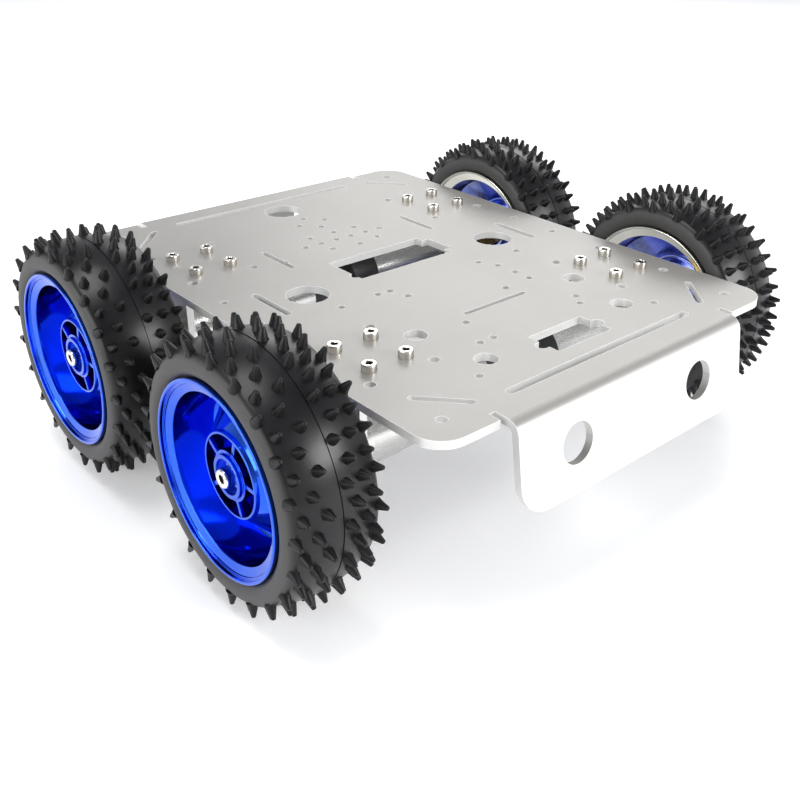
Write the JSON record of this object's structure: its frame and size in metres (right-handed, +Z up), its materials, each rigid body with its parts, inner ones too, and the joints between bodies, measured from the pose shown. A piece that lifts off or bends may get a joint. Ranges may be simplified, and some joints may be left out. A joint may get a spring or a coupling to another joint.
{
  "type": "four wheel robot chassis",
  "caption": "Flat metal robot base plate with slots and cutouts, on geared motors with studded off-road tyres and deep-dish rims.",
  "frame": {"origin": "on the ground, under the middle of the plate", "axes": "+X forwards, to the end with the narrow cutout; +Y left, along the axles; +Z up"},
  "size_m": [0.2538, 0.2584, 0.0999],
  "materials": {
    "plate_aluminium": "clear anodised, satin, with bright cut edges",
    "bracket_aluminium": "satin",
    "gearbox_steel": "nickel plated, satin",
    "motor_can_steel": "nickel plated, satin",
    "shaft_steel": "ground",
    "gear_steel": "machined, oiled",
    "rotor_steel": "laminated",
    "end_cap_plastic": "moulded, black",
    "hub_brass": "machined",
    "bush_bronze": "sintered",
    "terminal_brass": "tinned brass",
    "magnet_ferrite": "ferrite",
    "screw_nickel": "bright nickel",
    "rim_blue": "metallic blue, high gloss",
    "tyre_rubber": "moulded rubber, satin"
  },
  "bodies": {
    "chassis": {"chassis_plate": "plate_aluminium", "bracket_screws": "screw_nickel", "bracket_nuts": "screw_nickel", "gearbox_screws": "screw_nickel", "output_bushes": "bush_bronze", "motor_magnets": "magnet_ferrite", "motor_terminals": "terminal_brass", "motor_bracket_front_right": "bracket_aluminium", "motor_bracket_front_left": "bracket_aluminium", "motor_bracket_rear_right": "bracket_aluminium", "motor_bracket_rear_left": "bracket_aluminium", "gearbox_face_front_right": "gearbox_steel", "gearbox_face_front_left": "gearbox_steel", "gearbox_face_rear_right": "gearbox_steel", "gearbox_face_rear_left": "gearbox_steel", "gearbox_case_front_right": "gearbox_steel", "gearbox_case_front_left": "gearbox_steel", "gearbox_case_rear_right": "gearbox_steel", "gearbox_case_rear_left": "gearbox_steel", "cluster_pin_front_right": "shaft_steel", "cluster_pin_front_left": "shaft_steel", "cluster_pin_rear_right": "shaft_steel", "cluster_pin_rear_left": "shaft_steel", "motor_can_front_right": "motor_can_steel", "motor_can_front_left": "motor_can_steel", "motor_can_rear_right": "motor_can_steel", "motor_can_rear_left": "motor_can_steel", "end_cap_front_right": "end_cap_plastic", "end_cap_front_left": "end_cap_plastic", "end_cap_rear_right": "end_cap_plastic", "end_cap_rear_left": "end_cap_plastic"},
    "wheel_front_right": {"tyre_front_right": "tyre_rubber", "rim_front_right": "rim_blue", "hub_coupling_front_right": "hub_brass", "hub_screws_front_right": "screw_nickel", "output_shaft_front_right": "shaft_steel"},
    "cluster_front_right": {"cluster_gear_front_right": "gear_steel"},
    "rotor_front_right": {"rotor_front_right": "rotor_steel"},
    "wheel_front_left": {"tyre_front_left": "tyre_rubber", "rim_front_left": "rim_blue", "hub_coupling_front_left": "hub_brass", "hub_screws_front_left": "screw_nickel", "output_shaft_front_left": "shaft_steel"},
    "cluster_front_left": {"cluster_gear_front_left": "gear_steel"},
    "rotor_front_left": {"rotor_front_left": "rotor_steel"},
    "wheel_rear_right": {"tyre_rear_right": "tyre_rubber", "rim_rear_right": "rim_blue", "hub_coupling_rear_right": "hub_brass", "hub_screws_rear_right": "screw_nickel", "output_shaft_rear_right": "shaft_steel"},
    "cluster_rear_right": {"cluster_gear_rear_right": "gear_steel"},
    "rotor_rear_right": {"rotor_rear_right": "rotor_steel"},
    "wheel_rear_left": {"tyre_rear_left": "tyre_rubber", "rim_rear_left": "rim_blue", "hub_coupling_rear_left": "hub_brass", "hub_screws_rear_left": "screw_nickel", "output_shaft_rear_left": "shaft_steel"},
    "cluster_rear_left": {"cluster_gear_rear_left": "gear_steel"},
    "rotor_rear_left": {"rotor_rear_left": "rotor_steel"}
  },
  "joints": [
    {"name": "wheel_spin_front_right", "type": "hinge", "parent": "chassis", "child": "wheel_front_right", "pos_m": [0.0561, -0.11195, 0.04995], "axis": [0, 1, 0], "continuous": true},
    {"name": "cluster_spin_front_right", "type": "hinge", "parent": "chassis", "child": "cluster_front_right", "pos_m": [0.0637, -0.066, 0.04995], "axis": [0, 1, 0], "continuous": true},
    {"name": "rotor_spin_front_right", "type": "hinge", "parent": "chassis", "child": "rotor_front_right", "pos_m": [0.0561, -0.038, 0.04995], "axis": [0, 1, 0], "continuous": true},
    {"name": "wheel_spin_front_left", "type": "hinge", "parent": "chassis", "child": "wheel_front_left", "pos_m": [0.0561, 0.11195, 0.04995], "axis": [0, 1, 0], "continuous": true},
    {"name": "cluster_spin_front_left", "type": "hinge", "parent": "chassis", "child": "cluster_front_left", "pos_m": [0.0485, 0.066, 0.04995], "axis": [0, 1, 0], "continuous": true},
    {"name": "rotor_spin_front_left", "type": "hinge", "parent": "chassis", "child": "rotor_front_left", "pos_m": [0.0561, 0.038, 0.04995], "axis": [0, 1, 0], "continuous": true},
    {"name": "wheel_spin_rear_right", "type": "hinge", "parent": "chassis", "child": "wheel_rear_right", "pos_m": [-0.0561, -0.11195, 0.04995], "axis": [0, 1, 0], "continuous": true},
    {"name": "cluster_spin_rear_right", "type": "hinge", "parent": "chassis", "child": "cluster_rear_right", "pos_m": [-0.0485, -0.066, 0.04995], "axis": [0, 1, 0], "continuous": true},
    {"name": "rotor_spin_rear_right", "type": "hinge", "parent": "chassis", "child": "rotor_rear_right", "pos_m": [-0.0561, -0.038, 0.04995], "axis": [0, 1, 0], "continuous": true},
    {"name": "wheel_spin_rear_left", "type": "hinge", "parent": "chassis", "child": "wheel_rear_left", "pos_m": [-0.0561, 0.11195, 0.04995], "axis": [0, 1, 0], "continuous": true},
    {"name": "cluster_spin_rear_left", "type": "hinge", "parent": "chassis", "child": "cluster_rear_left", "pos_m": [-0.0637, 0.066, 0.04995], "axis": [0, 1, 0], "continuous": true},
    {"name": "rotor_spin_rear_left", "type": "hinge", "parent": "chassis", "child": "rotor_rear_left", "pos_m": [-0.0561, 0.038, 0.04995], "axis": [0, 1, 0], "continuous": true}
  ],
  "couplings": [
    {"joint": "cluster_spin_front_right", "follows": "wheel_spin_front_right", "ratio": -3.2222},
    {"joint": "rotor_spin_front_right", "follows": "wheel_spin_front_right", "ratio": 10.383},
    {"joint": "cluster_spin_front_left", "follows": "wheel_spin_front_left", "ratio": -3.2222},
    {"joint": "rotor_spin_front_left", "follows": "wheel_spin_front_left", "ratio": 10.383},
    {"joint": "cluster_spin_rear_right", "follows": "wheel_spin_rear_right", "ratio": -3.2222},
    {"joint": "rotor_spin_rear_right", "follows": "wheel_spin_rear_right", "ratio": 10.383},
    {"joint": "cluster_spin_rear_left", "follows": "wheel_spin_rear_left", "ratio": -3.2222},
    {"joint": "rotor_spin_rear_left", "follows": "wheel_spin_rear_left", "ratio": 10.383}
  ]
}
